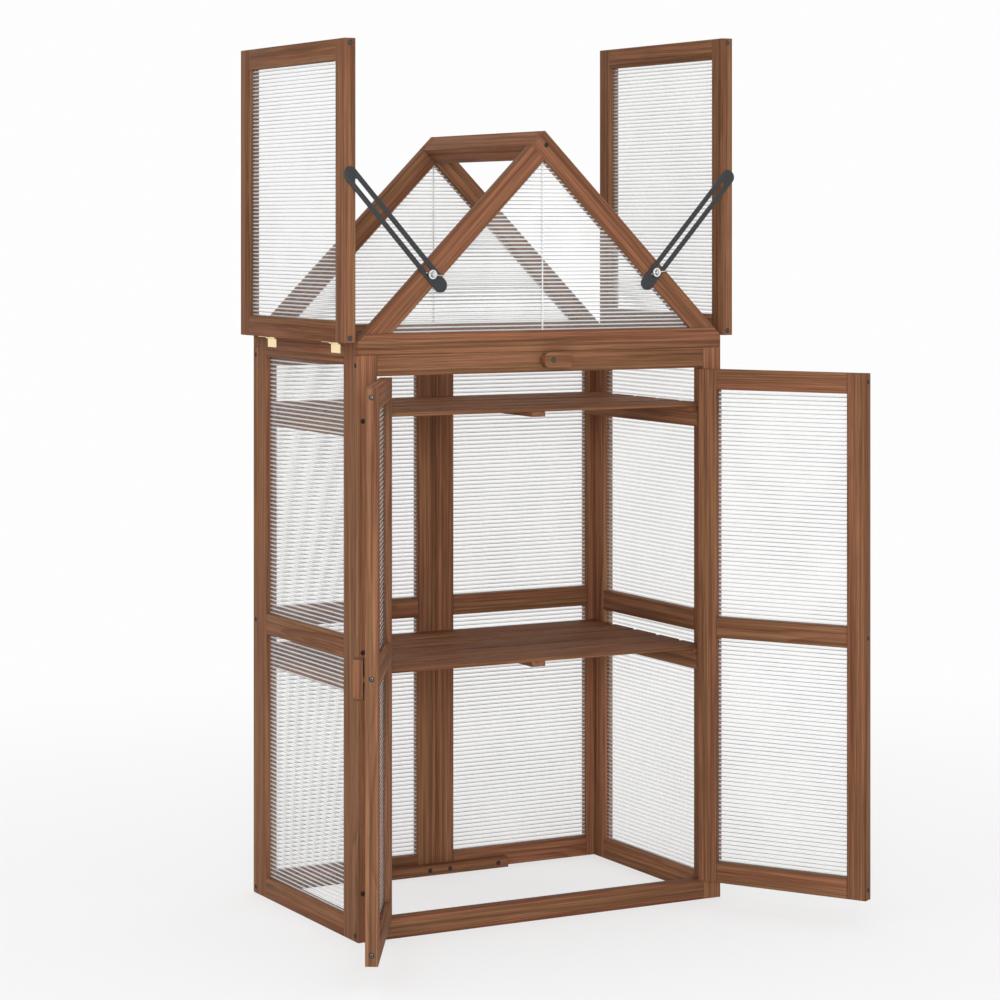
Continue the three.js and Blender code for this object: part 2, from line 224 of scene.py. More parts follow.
# %% [markdown]
# ## Floor, background and light
#
# The studio is almost shadowless: a white dome lights the object from all sides and one broad lamp
# in front gives the faces a little direction. The dome is brighter to the camera, and to what the
# sheets and the metal show of it, than it is as a lamp. The floor is a pale matt disc that takes
# the shadow and fades into the white of the background further out.

# %% Light the dome and lay the floor
DOME_LOW_LIGHT = 0.30
DOME_HIGH_LIGHT = 1.0
DOME_SEEN = 0.985
DOME_RISE = (0.1, 0.8)
FLOOR_COLOUR = (0.94, 0.94, 0.94, 1)
FLOOR_GLOW_SHARE = 0.60
FLOOR_RADIUS = 9.0
FLOOR_FADE = (0.9, 3.2)
LAMP_PLACE = (-3.3, -6.1, 1.7)
LAMP_TARGET = (0, 0.2, 0.8)
LAMP_SIZE = 2.6
LAMP_POWER = 210


def seen_directly(tree):
    path = tree.nodes.new("ShaderNodeLightPath")
    glossy = maths(tree, "MAXIMUM", path.outputs["Is Camera Ray"], path.outputs["Is Glossy Ray"])
    return maths(tree, "MAXIMUM", glossy, path.outputs["Is Transmission Ray"])


def build_dome():
    world = bpy.data.worlds.new("studio")
    bpy.context.scene.world = world
    world.use_nodes = True
    tree = world.node_tree
    direction = tree.nodes.new("ShaderNodeTexCoord")
    split = add_node(tree, "ShaderNodeSeparateXYZ", Vector=direction.outputs["Generated"])
    light = remap(tree, split.outputs["Z"], *DOME_RISE, DOME_LOW_LIGHT, DOME_HIGH_LIGHT)
    seen = maths(tree, "SUBTRACT", DOME_SEEN, light)
    strength = maths(tree, "MULTIPLY_ADD", seen_directly(tree), seen, light)
    background = tree.nodes["Background"]
    background.inputs["Color"].default_value = (1, 1, 1, 1)
    tree.links.new(strength, background.inputs["Strength"])


def build_floor():
    deselect()
    bpy.ops.mesh.primitive_circle_add(vertices=96, radius=FLOOR_RADIUS, fill_type="NGON")
    floor = bpy.context.object
    floor.name = "floor"
    material = bpy.data.materials.new("floor")
    material.use_nodes = True
    tree = material.node_tree
    tree.nodes.clear()
    place = tree.nodes.new("ShaderNodeTexCoord")
    distance = add_node(tree, "ShaderNodeVectorMath")
    distance.operation = "LENGTH"
    tree.links.new(place.outputs["Object"], distance.inputs[0])
    glow_share = remap(tree, distance.outputs["Value"], *FLOOR_FADE, FLOOR_GLOW_SHARE, 1.0)
    share = maths(tree, "MULTIPLY", glow_share, seen_directly(tree))
    matt = add_node(tree, "ShaderNodeBsdfDiffuse", Color=FLOOR_COLOUR)
    glow = add_node(tree, "ShaderNodeEmission", Color=(1, 1, 1, 1), Strength=DOME_SEEN)
    mix = add_node(tree, "ShaderNodeMixShader", Fac=share)
    tree.links.new(matt.outputs[0], mix.inputs[1])
    tree.links.new(glow.outputs[0], mix.inputs[2])
    output = tree.nodes.new("ShaderNodeOutputMaterial")
    tree.links.new(mix.outputs[0], output.inputs["Surface"])
    floor.data.materials.append(material)


def add_lamp(name, place, target, size, power):
    data = bpy.data.lights.new(name, "AREA")
    data.shape = "DISK"
    data.size = size
    data.energy = power
    lamp = bpy.data.objects.new(name, data)
    lamp.location = place
    lamp.rotation_euler = (Vector(target) - Vector(place)).to_track_quat("-Z", "Y").to_euler()
    bpy.context.scene.collection.objects.link(lamp)


build_dome()
build_floor()
add_lamp("key", LAMP_PLACE, LAMP_TARGET, LAMP_SIZE, LAMP_POWER)
bpy.context.scene.view_settings.view_transform = "Standard"
print("dome", DOME_LOW_LIGHT, "to", DOME_HIGH_LIGHT, "lamp power", LAMP_POWER)

# %% [markdown]
# ## Stained timber
#
# The grain has to run along every board, whichever way the board lies, and go through it like
# real wood: lines on the faces and rings on the end grain. So each board stores its own
# coordinates, in an attribute called grain, with X along the board and a place of its own in the
# log. The material reads only that attribute, and it turns and moves with the board.

# %% The timber material
STAIN_YELLOW = (0.226, 0.110, 0.056, 1)
STAIN_RED = (0.233, 0.098, 0.053, 1)
STAIN_DARK = (0.088, 0.033, 0.016, 1)
# the dark brown of the painted shade that lies along the eased arrises
ARRIS_SHADE_COLOUR = (0.100, 0.042, 0.022, 1)
RING_SPACING = 0.0042
RING_WOBBLE = 7.0
LATE_WOOD_START = (0.45, 0.95)
LATE_WOOD_SHARE = 0.55
# how strongly the eased arrises are darkened by that painted shade
ARRIS_SHADE_SHARE = 0.35
CLOUD_SHARE = 0.25
STREAK_TONES = (0.70, 1.34)
FIBRE_TONES = (0.88, 1.14)
ROUGHNESS = (0.50, 0.66)
SHEEN = 0.04
RELIEF = 0.0004
FIBRE_RELIEF = 0.5
RING_RELIEF = -0.35
# how fine each pattern is along the grain and across it, per metre
WOBBLE_GRAIN = (2.2, 9.0)
PATCH_GRAIN = (1.4, 40.0)
HUE_GRAIN = (1.2, 95.0)
STREAK_GRAIN = (2.0, 170.0)
FIBRE_GRAIN = (14.0, 700.0)
CLOUD_GRAIN = (3.0, 30.0)


def ring_pattern(tree, place):
    """The dark late wood of the rings, stronger in some patches than in others."""
    wobble = noise(tree, stretched(tree, place, *WOBBLE_GRAIN))
    split = add_node(tree, "ShaderNodeSeparateXYZ", Vector=place)
    across = maths(tree, "POWER", split.outputs["Y"], 2.0)
    deep = maths(tree, "POWER", split.outputs["Z"], 2.0)
    radius = maths(tree, "SQRT", maths(tree, "ADD", across, deep))
    rings = maths(tree, "DIVIDE", radius, RING_SPACING)
    bend = maths(tree, "MULTIPLY", wobble, RING_WOBBLE)
    ring = maths(tree, "FRACT", maths(tree, "ADD", rings, bend))
    rise = remap(tree, ring, *LATE_WOOD_START)
    fall = remap(tree, ring, LATE_WOOD_START[1], 1.0, 1.0, 0.0)
    patches = noise(tree, stretched(tree, place, *PATCH_GRAIN))
    strength = remap(tree, patches, 0.35, 0.7, 0.15, 0.85)
    return maths(tree, "MULTIPLY", maths(tree, "MULTIPLY", rise, fall), strength)


def timber_material():
    material, tree, shader = start_material("stained_timber_grain")
    place = attribute(tree, "grain", "Vector")
    tone_and_light = attribute(tree, "tone_and_light", "Fac")
    arris_shade = attribute(tree, "arris_shade", "Fac")

    late_wood = ring_pattern(tree, place)
    hue = noise(tree, stretched(tree, place, *HUE_GRAIN))
    streaks = noise(tree, stretched(tree, place, *STREAK_GRAIN), detail=3, roughness=0.6)
    fibres = noise(tree, stretched(tree, place, *FIBRE_GRAIN))
    clouds = noise(tree, stretched(tree, place, *CLOUD_GRAIN))

    colour = mix_colour(tree, remap(tree, hue, 0.40, 0.60), STAIN_YELLOW, STAIN_RED)
    colour = mix_colour(tree, maths(tree, "MULTIPLY", late_wood, LATE_WOOD_SHARE), colour, STAIN_DARK)
    colour = mix_colour(tree, remap(tree, clouds, 0.48, 0.70, 0.0, CLOUD_SHARE), colour, STAIN_DARK)
    # painted shade: the eased arrises are darkened towards dark brown, as if shade lay along them
    colour = mix_colour(tree, maths(tree, "MULTIPLY", arris_shade, ARRIS_SHADE_SHARE), colour, ARRIS_SHADE_COLOUR)
    # the board's tone scales the colour; for some boards it is partly painted light
    level = maths(tree, "MULTIPLY", tone_and_light, remap(tree, streaks, 0.32, 0.68, *STREAK_TONES))
    level = maths(tree, "MULTIPLY", level, remap(tree, fibres, 0.34, 0.66, *FIBRE_TONES))
    tree.links.new(scaled(tree, colour, level), shader.inputs["Base Color"])

    rough = remap(tree, streaks, 0.2, 0.8, *ROUGHNESS, smooth=False)
    tree.links.new(rough, shader.inputs["Roughness"])
    shader.inputs["Specular IOR Level"].default_value = SHEEN
    ring_height = maths(tree, "MULTIPLY", late_wood, RING_RELIEF)
    height = maths(tree, "MULTIPLY_ADD", fibres, FIBRE_RELIEF, ring_height)
    bump = add_node(tree, "ShaderNodeBump", Strength=0.35, Distance=RELIEF, Height=height)
    tree.links.new(bump.outputs[0], shader.inputs["Normal"])
    return material


TIMBER = timber_material()
print("timber nodes:", len(TIMBER.node_tree.nodes))

# %% [markdown]
# ## A planed board
#
# A board starts as a cube at its size and place. Its edges are eased by a small bevel, and the
# edge that holds a sheet gets a groove, cut by an inset and an extrusion. Then the board
# writes down its grain, its own tone, which for some boards also holds painted light, and where
# its arrises are, so that the material can darken them with painted shade.

# %% One board
ARRIS = 0.0011
GROOVE_WIDTH = 0.00405
GROOVE_DEPTH = 0.008
LOG_RADIUS = (0.045, 0.115)
TONE_SPREAD = 0.075
LOG_LENGTH = 20
SHARP = math.radians(40)
SMOOTH_ANGLE = 35
draw = random.Random(762)


def write_grain(piece, low, high, along, cuts=(), shade=1.0, paint_arris_shade=True):
    """Stores on its points the board's own coordinates, its brightness factor, which is partly painted
    light, and, if wanted, its eased edges for painted shade.
    """
    mesh = piece.data
    turn = draw.uniform(0, 2 * math.pi)
    radius = draw.uniform(*LOG_RADIUS)
    start = draw.uniform(0, LOG_LENGTH)
    heart = (radius * math.cos(turn), radius * math.sin(turn))
    side, other = [axis for axis in range(3) if axis != along]
    # a random tone of the board's own, times the given factor, which is partly painted light
    tone_and_light = shade * (1 + draw.uniform(-TONE_SPREAD, TONE_SPREAD))
    for name, kind in (("grain", "FLOAT_VECTOR"), ("tone_and_light", "FLOAT"), ("arris_shade", "FLOAT")):
        mesh.attributes.new(name, kind, "POINT")
    grain, tones_and_light, arris_shade = (mesh.attributes[name] for name in ("grain", "tone_and_light", "arris_shade"))
    for vertex in mesh.vertices:
        spot = vertex.co
        from_low = spot - low
        grain.data[vertex.index].vector = (
            from_low[along] + start, from_low[side] + heart[0], from_low[other] + heart[1])
        tones_and_light.data[vertex.index].value = tone_and_light
        on_face = any(min(abs(spot[a] - low[a]), abs(spot[a] - high[a])) < TOUCH for a in range(3))
        on_cut = any(abs((spot - point).dot(normal)) < TOUCH for point, normal in cuts)
        # points off the flat faces and the cuts lie on the eased arrises, which get painted shade
        arris_shade.data[vertex.index].value = 0.0 if on_face or on_cut or not paint_arris_shade else 1.0


def board(low, high, along, groove=(), cuts=(), shade=1.0):
    """A board between two corners. A cut is a point and a unit normal, and past it all is sawn off."""
    low, high = Vector(low), Vector(high)
    piece = cuboid(low, high)
    edit(piece)
    for point, normal in cuts:
        bpy.ops.mesh.select_all(action="SELECT")
        bpy.ops.mesh.bisect(plane_co=point, plane_no=normal, use_fill=True, clear_outer=True)
    bpy.ops.mesh.select_all(action="SELECT")
    bpy.ops.mesh.bevel(offset=ARRIS, segments=2, affect="EDGES")
    bpy.ops.object.mode_set(mode="OBJECT")
    write_grain(piece, low, high, along, cuts, shade)
    for axis, way in groove:
        plough(piece, low, high, axis, way)
    piece.data.materials.append(TIMBER)
    return piece


def plough(piece, low, high, axis, way):
    """Cuts the groove for a sheet into the board's edge that faces along axis, to the way side."""
    edge = high[axis] if way > 0 else low[axis]
    thickness = min(high[a] - low[a] for a in range(3) if a != axis) - 2 * ARRIS
    edit(piece)
    select_parts(piece, "FACE", lambda face: all(abs(v.co[axis] - edge) < TOUCH for v in face.verts))
    bpy.ops.mesh.inset(thickness=(thickness - GROOVE_WIDTH) / 2)
    push = Vector((0, 0, 0))
    push[axis] = -way * GROOVE_DEPTH
    bpy.ops.mesh.extrude_region_move(TRANSFORM_OT_translate={"value": push})
    bpy.ops.object.mode_set(mode="OBJECT")


def soften(piece, width, segments=2):
    """Rounds every sharp edge of a finished shape with a bevel modifier."""
    pick(piece)
    bevel = piece.modifiers.new("soften", "BEVEL")
    bevel.width = width
    bevel.segments = segments
    bevel.limit_method = "ANGLE"
    bevel.angle_limit = SHARP
    bpy.ops.object.modifier_apply(modifier=bevel.name)


def join(pieces, name):
    deselect()
    for piece in pieces:
        piece.select_set(True)
    bpy.context.view_layer.objects.active = pieces[0]
    if len(pieces) > 1:
        bpy.ops.object.join()
    whole = bpy.context.object
    whole.name = name
    whole.data.name = name
    return whole


def dress(piece, body, slot, *nodes, angle=SMOOTH_ANGLE):
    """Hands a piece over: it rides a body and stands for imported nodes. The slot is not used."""
    pick(piece)
    bpy.ops.object.shade_smooth_by_angle(angle=math.radians(angle))
    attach(piece, body)
    if nodes:
        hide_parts(*nodes)


# %% [markdown]
# ## Posts, sill and header
#
# The front is a plain rectangle: two posts run its full height, and the sill and the header are
# held between them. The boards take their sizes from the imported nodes.

# %% Build the front boards
FINISH_WOOD = "stained_timber"
# boards that are lighter or darker than the rest: partly their own timber, and partly painted light,
# which lifts boards that stand in shade, such as the posts beside the open doors, and dims the flaps
TONE_AND_PAINTED_LIGHT = {
    "front_left_post": 1.20, "front_right_post": 1.12, "ridge_beam": 1.12,
    "right_side_frame": 1.20, "back_left_frame": 1.10, "back_right_frame": 1.10,
    "left_flap_frame": 0.94, "right_flap_frame": 0.94,
}

FRONT_BOARDS = (("front_left_post", Z), ("front_right_post", Z), ("front_sill", X), ("front_header", X))

for node, along in FRONT_BOARDS:
    piece = join([board(*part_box(node), along, shade=TONE_AND_PAINTED_LIGHT.get(node, 1.0))], node + "_board")
    dress(piece, "root", FINISH_WOOD, node)
print("front boards done")

# %% [markdown]
# ## Frames with sheets
#
# The sides, the back, the doors and the flaps are all ladders: two stiles run the full height and
# the rails are held between them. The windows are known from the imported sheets, which reach a
# little way into the grooves. A door is built shut and then turned about its hinge pin, because
# a ladder is easier to build square to the axes.

# %% A ladder of boards
SHEET_REACH = 0.0075


def box_of(node, turn=None):
    """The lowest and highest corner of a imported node, after a turn."""
    if turn is None:
        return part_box(node)
    corners = [turn @ v.co for v in frame["nodes"][node].data.vertices]
    low = Vector(min(c[a] for c in corners) for a in range(3))
    high = Vector(max(c[a] for c in corners) for a in range(3))
    return low, high


def part_of(box, **limits):
    """The box with some of its limits replaced, such as x_low or z_high."""
    low, high = box[0].copy(), box[1].copy()
    for name, value in limits.items():
        axis = "xyz".index(name[0])
        (low if name.endswith("low") else high)[axis] = value
    return low, high


def window_edges(frame_box, sheet_boxes):
    """The heights where each rail begins and ends, from the lowest to the highest."""
    edges = [frame_box[0].z]
    for low, high in sorted(sheet_boxes, key=lambda box: box[0].z):
        edges += [low.z + SHEET_REACH, high.z - SHEET_REACH]
    return edges + [frame_box[1].z]


def ladder(frame_box, sheet_boxes, across, shade=1.0):
    """Two stiles with rails between them, round the windows that the sheets fill."""
    letter = "xyz"[across]
    edges = window_edges(frame_box, sheet_boxes)
    inner_low = sheet_boxes[0][0][across] + SHEET_REACH
    inner_high = sheet_boxes[0][1][across] - SHEET_REACH
    near_stile = part_of(frame_box, **{letter + "_high": inner_low})
    far_stile = part_of(frame_box, **{letter + "_low": inner_high})
    boards = [
        board(*near_stile, Z, groove=[(across, 1)], shade=shade),
        board(*far_stile, Z, groove=[(across, -1)], shade=shade),
    ]
    for index in range(0, len(edges), 2):
        grooves = []
        if index > 0:
            grooves.append((Z, -1))
        if index < len(edges) - 2:
            grooves.append((Z, 1))
        box = part_of(frame_box, **{
            letter + "_low": inner_low, letter + "_high": inner_high,
            "z_low": edges[index], "z_high": edges[index + 1],
        })
        boards.append(board(*box, across, groove=grooves, shade=shade))
    return boards


# %% [markdown]
# ## Ribbed clear sheet
#
# The sheets are clear plastic with level ribs on the outer face. A grid takes the ribs' profile and
# is extruded to a flat inner face. A rib is frosted and scatters the light, and the stretch beside it
# is a clear window. A thin grey line along the rib's lower side is painted shade: it stands in for
# the darker surroundings that the ribs would show by refraction, and it is painted fainter on the
# side walls. What stands behind a sheet is broken into stripes by them.

# %% The sheet material and one sheet
RIB_PITCH = 0.008
ROOF_RIB_PITCH = 0.0072
RIB_HEIGHT = 0.00015
# where the profile turns, as a share of the pitch, and how high it is there
RIB_PROFILE = [(0.0, 0.0), (0.17, 0.0), (0.22, 1.0), (0.45, 1.0), (0.50, 0.0)]
# how far up each pitch, from the foot of the rib, the painted shade line reaches
RIB_SHADE_END = 0.17
RIB_END = 0.50
SHEET_WAVES = 9.0
PLASTIC_IOR = 1.45
FLAT_ANGLE = 10


def sheet_material(name, dark, light, alpha, roughness):
    material, tree, shader = start_material(name)
    shade = remap(tree, noise_over_piece(tree, SHEET_WAVES), 0.35, 0.65)
    tree.links.new(mix_colour(tree, shade, dark, light), shader.inputs["Base Color"])
    shader.inputs["Alpha"].default_value = alpha
    shader.inputs["Roughness"].default_value = roughness
    shader.inputs["IOR"].default_value = PLASTIC_IOR
    return material


CLEAR = sheet_material("clear_plastic", (0.93, 0.94, 0.93, 1), (0.98, 0.99, 0.98, 1), 0.07, 0.08)
FROSTED = sheet_material("frosted_rib", (0.97, 0.97, 0.97, 1), (1.0, 1.0, 1.0, 1), 0.66, 0.40)
# painted shade: grey lines that stand in for the darker surroundings the ribs would show by refraction,
# with fainter ones for the side walls
PAINTED_RIB_SHADE = sheet_material("painted_rib_shade_line", (0.10, 0.10, 0.095, 1), (0.32, 0.32, 0.31, 1), 0.80, 0.40)
FAINT_PAINTED_RIB_SHADE = sheet_material("faint_painted_rib_shade_line", (0.25, 0.25, 0.24, 1), (0.70, 0.70, 0.69, 1), 0.34, 0.40)


def ribbed_sheet(low, high, across, outward, pitch, line=PAINTED_RIB_SHADE):
    """A sheet between two corners with level ribs on its outer face."""
    thick = 3 - across - Z
    width = high[across] - low[across]
    height = high.z - low.z
    ribs = max(1, round(height / pitch))
    steps = len(RIB_PROFILE)
    deselect()
    bpy.ops.mesh.primitive_grid_add(x_subdivisions=1, y_subdivisions=ribs * steps, size=1)
    piece = bpy.context.object
    outer, inner = (high[thick], low[thick]) if outward > 0 else (low[thick], high[thick])
    for vertex in piece.data.vertices:
        rib, step = divmod(round((vertex.co.y + 0.5) * ribs * steps), steps)
        level, rise = RIB_PROFILE[step]
        spot = Vector((0, 0, 0))
        spot[across] = low[across] + (vertex.co.x + 0.5) * width
        spot.z = low.z + (rib + level) / ribs * height
        spot[thick] = outer - outward * RIB_HEIGHT * (1 - rise)
        vertex.co = spot
    for material in (CLEAR, FROSTED, line):
        piece.data.materials.append(material)
    # the foot of each rib takes the painted shade line, the rest of the rib is frosted
    for face in piece.data.polygons:
        level = (face.center.z - low.z) / height * ribs % 1
        if level < RIB_END:
            face.material_index = 2 if level < RIB_SHADE_END else 1
    edit(piece)
    bpy.ops.mesh.select_all(action="SELECT")
    squash = [1, 1, 1]
    squash[thick] = 0
    wall = Vector((0, 0, 0))
    wall[thick] = inner
    bpy.ops.mesh.extrude_region_move(TRANSFORM_OT_translate={"value": [0, 0, 0]})
    bpy.ops.transform.resize(value=squash, center_override=wall)
    bpy.ops.mesh.select_all(action="SELECT")
    bpy.ops.mesh.normals_make_consistent(inside=False)
    bpy.ops.object.mode_set(mode="OBJECT")
    for face in piece.data.polygons:
        if abs(face.center[thick] - outer) > 2 * RIB_HEIGHT:
            face.material_index = 0
    return piece


# %% [markdown]
# ## Sides and back
#
# The side walls stand between the front and the back. The back is a pair of ladders that a short
# batten joins at the foot. The ribs face outwards.

# %% Build the sides and the back
WALLS = (("left_side", Y, -1), ("back_left", X, 1), ("right_side", Y, 1), ("back_right", X, 1))

for name, across, outward in WALLS:
    frame_node = f"{name}_frame"
    sheet_nodes = [f"{name}_lower_sheet", f"{name}_upper_sheet"]
    boxes = [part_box(node) for node in sheet_nodes]
    boards = ladder(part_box(frame_node), boxes, across, TONE_AND_PAINTED_LIGHT.get(frame_node, 1.0))
    dress(join(boards, name + "_boards"), "root", FINISH_WOOD, frame_node)
    # the side walls take the fainter painted shade line
    line = FAINT_PAINTED_RIB_SHADE if across == Y else PAINTED_RIB_SHADE
    for node, box in zip(sheet_nodes, boxes):
        piece = join([ribbed_sheet(*box, across, outward, RIB_PITCH, line)], node + "_ribbed")
        dress(piece, "root", "clear_sheet", node, angle=FLAT_ANGLE)
    print(name, len(boards), "boards")

piece = join([board(*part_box("back_joining_strip"), X)], "joining_strip_board")
dress(piece, "root", FINISH_WOOD, "back_joining_strip")

# %% [markdown]
# ## Doors
#
# Each door is built where it would be when shut and is then turned back to where it stands open.
# The hinge's own limit says how far that is.

# %% Turn a piece about a joint
def joint_named(name):
    return next(joint for joint in frame["joints"] if joint["name"] == name)


def turn_about(joint_name, degrees):
    """The matrix that turns a piece about a joint's axis."""
    joint = joint_named(joint_name)
    pin = Vector(joint["pos_m"])
    spin = Matrix.Rotation(math.radians(degrees), 4, Vector(joint["axis"]))
    return Matrix.Translation(pin) @ spin @ Matrix.Translation(-pin)


def shut_turn(side):
    return turn_about(f"{side}_door_hinge", joint_named(f"{side}_door_hinge")["range_deg"][1])


# %% Build the doors
for side in ("left", "right"):
    shut = shut_turn(side)
    sheet_nodes = [f"{side}_door_lower_sheet", f"{side}_door_upper_sheet"]
    boxes = [box_of(node, shut) for node in sheet_nodes]
    boards = ladder(box_of(f"{side}_door_frame", shut), boxes, X)
    piece = join(boards, f"{side}_door_boards")
    piece.data.transform(shut.inverted())
    dress(piece, f"{side}_door", FINISH_WOOD, f"{side}_door_frame")
    for node, box in zip(sheet_nodes, boxes):
        piece = join([ribbed_sheet(*box, X, -1, RIB_PITCH)], node + "_ribbed")
        piece.data.transform(shut.inverted())
        dress(piece, f"{side}_door", "clear_sheet", node, angle=FLAT_ANGLE)
    print(side, "door done")

# %% [markdown]
# ## Roof flaps
#
# A flap is a ladder with one window. At rest it stands upright on its hinges outside the wall.

# %% Build the flaps
for side, way in (("left", -1), ("right", 1)):
    sheet_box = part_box(f"{side}_flap_sheet")
    boards = ladder(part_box(f"{side}_flap_frame"), [sheet_box], Y, TONE_AND_PAINTED_LIGHT[f"{side}_flap_frame"])
    dress(join(boards, f"{side}_flap_boards"), f"{side}_flap", FINISH_WOOD, f"{side}_flap_frame")
    piece = join([ribbed_sheet(*sheet_box, Y, way, ROOF_RIB_PITCH)], f"{side}_flap_sheet_ribbed")
    dress(piece, f"{side}_flap", "clear_sheet", f"{side}_flap_sheet", angle=FLAT_ANGLE)
    print(side, "flap", len(boards), "boards")

# %% [markdown]
# ## Gables and ridge
#
# A gable is a base rail with two rafters. The right rafter runs up to the ridge and is cut square
# there, and the left one butts against its lower edge. Each rafter is built level, along its
# own slope, and then swung to 45 degrees. The ridge beam is square and lies on its edge.

# %% Model the gables
timber_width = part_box("front_sill")[1].z
SLOPE = math.radians(45)
SEAM = 0.0018
SMEAR_FINENESS = 60.0


def sealant_material():
    material, tree, shader = start_material("white_sealant")
    smears = noise_over_piece(tree, SMEAR_FINENESS)
    colour = mix_colour(tree, smears, (0.86, 0.86, 0.84, 1), (0.96, 0.96, 0.95, 1))
    tree.links.new(colour, shader.inputs["Base Color"])
    shader.inputs["Roughness"].default_value = 0.45
    return material


SEALANT = sealant_material()


def gable_boards(box):
    low, high = box
    peak = Vector((0, 0, high.z))
    rail_top = low.z + timber_width
    right_slope = Vector((1, 0, 1)).normalized()
    left_slope = Vector((-1, 0, 1)).normalized()
    ends = [(peak, right_slope), (peak, left_slope)]
    boards = [board(low, (high.x, high.y, rail_top), X, groove=[(Z, 1)], cuts=ends)]
    length = (high.z - low.z) / math.sin(SLOPE)
    for way, start in ((1, 0.0), (-1, timber_width)):
        swing = Matrix.Translation(peak) @ Matrix.Rotation(way * SLOPE, 4, "Y")
        foot = swing.inverted() @ Vector((0, 0, rail_top))
        down = swing.inverted().to_3x3() @ Vector((0, 0, -1))
        near, far = sorted((way * start, way * length))
        corners = (near, low.y, -timber_width), (far, high.y, 0)
        rafter = board(*corners, X, groove=[(Z, -1)], cuts=[(foot, down)])
        rafter.data.transform(swing)
        boards.append(rafter)
    return boards


def gable_sheet(box, outward):
    low, high = box
    peak = Vector((0, 0, high.z))
    halves = []
    for way in (-1, 1):
        limits = {"x_low": SEAM / 2} if way > 0 else {"x_high": -SEAM / 2}
        half = ribbed_sheet(*part_of(box, **limits), X, outward, ROOF_RIB_PITCH)
        edit(half)
        bpy.ops.mesh.select_all(action="SELECT")
        slope = Vector((way, 0, 1)).normalized()
        bpy.ops.mesh.bisect(plane_co=peak, plane_no=slope, use_fill=True, clear_outer=True)
        bpy.ops.object.mode_set(mode="OBJECT")
        halves.append(half)
    return halves + [seam_bead(box)]


def seam_bead(box):
    """The white line where the two halves of a gable sheet are sealed to each other."""
    low, high = part_of(box, x_low=-SEAM / 2, x_high=SEAM / 2, z_high=box[1].z - SEAM)
    bead = cuboid(low, high)
    soften(bead, SEAM / 4)
    bead.data.materials.append(SEALANT)
    return bead


# %% Build the gables and the ridge
for place, outward in (("front", -1), ("back", 1)):
    piece = join(gable_boards(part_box(f"{place}_gable_frame")), f"{place}_gable_boards")
    dress(piece, "root", FINISH_WOOD, f"{place}_gable_frame")
    piece = join(gable_sheet(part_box(f"{place}_gable_sheet"), outward), f"{place}_gable_sheet_ribbed")
    dress(piece, "root", "clear_sheet", f"{place}_gable_sheet", angle=FLAT_ANGLE)

ridge_low, ridge_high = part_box("ridge_beam")
half_beam = timber_width / 2
beam = board((-half_beam, ridge_low.y, -half_beam), (half_beam, ridge_high.y, half_beam), Y,
             shade=TONE_AND_PAINTED_LIGHT["ridge_beam"])
beam_middle = Matrix.Translation((0, 0, (ridge_low.z + ridge_high.z) / 2))
beam.data.transform(beam_middle @ Matrix.Rotation(SLOPE, 4, "Y"))
dress(join([beam], "ridge_beam_board"), "root", FINISH_WOOD, "ridge_beam")
print("gables and ridge done")

# %% [markdown]
# ## Shelves and their cleats
#
# A shelf is five thin slats on three battens. It rests loosely on a cleat at each side.

# %% Build the shelves
SLAT_COUNT = 5
SLAT_GAP = 0.015
SLAT_THICKNESS = 0.0074
BATTEN_WIDTH = 0.029


def shelf_boards(low, high):
    slat_width = (high.y - low.y - (SLAT_COUNT - 1) * SLAT_GAP) / SLAT_COUNT
    underside = high.z - SLAT_THICKNESS
    boards = []
    for index in range(SLAT_COUNT):
        near = low.y + index * (slat_width + SLAT_GAP)
        boards.append(board((low.x, near, underside), (high.x, near + slat_width, high.z), X))
    for x in (low.x, -BATTEN_WIDTH / 2, high.x - BATTEN_WIDTH):
        boards.append(board((x, low.y, low.z), (x + BATTEN_WIDTH, high.y, underside), Y))
    return boards


for level in ("upper", "lower"):
    piece = join(shelf_boards(*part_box(f"{level}_shelf")), f"{level}_shelf_boards")
    dress(piece, f"{level}_shelf", FINISH_WOOD, f"{level}_shelf")
    for side in ("left", "right"):
        node = f"{level}_{side}_cleat"
        dress(join([board(*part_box(node), Y)], node + "_board"), "root", FINISH_WOOD, node)
print("shelves done")

# %% [markdown]
# ## Turn buttons
#
# A turn button is a short block with one round end that swings on a screw. The block starts as a
# board whose two end edges are rounded by a wide bevel. A small round spacer keeps it off the wood.

# %% Model a turn button
BUTTON_WIDTH = 0.030
BUTTON_THICKNESS = 0.017
BUTTON_ROUND = 0.0149
SPACER_RADIUS = 0.008
SPACER_SINK = 0.001


def turn_button(long_end, round_end, back, face):
    """A button along X with its pivot at the origin, its back at one Y and the wood's at another."""
    low = Vector((-round_end, back - BUTTON_THICKNESS, -BUTTON_WIDTH / 2))
    high = Vector((long_end, back, BUTTON_WIDTH / 2))

    def at_round_end(edge):
        return runs_along_y(edge) and all(abs(v.co.x - low.x) < TOUCH for v in edge.verts)

    block = cuboid(low, high)
    edit(block)
    select_parts(block, "EDGE", at_round_end)
    bpy.ops.mesh.bevel(offset=BUTTON_ROUND, segments=ROUND_SEGMENTS, affect="EDGES")
    bpy.ops.object.mode_set(mode="OBJECT")
    soften(block, ARRIS)
    write_grain(block, low, high, X, paint_arris_shade=False)
    deselect()
    depth = face - back + SPACER_SINK
    bpy.ops.mesh.primitive_cylinder_add(vertices=32, radius=SPACER_RADIUS, depth=depth)
    spacer = bpy.context.object
    middle_y = (face + back - SPACER_SINK) / 2
    spacer.data.transform(Matrix.Translation((0, middle_y, 0)) @ Matrix.Rotation(QUARTER_TURN, 4, "X"))
    soften(spacer, ARRIS / 3)
    write_grain(spacer, low, high, Y, paint_arris_shade=False)
    for part in (block, spacer):
        part.data.materials.append(TIMBER)
    return [block, spacer]


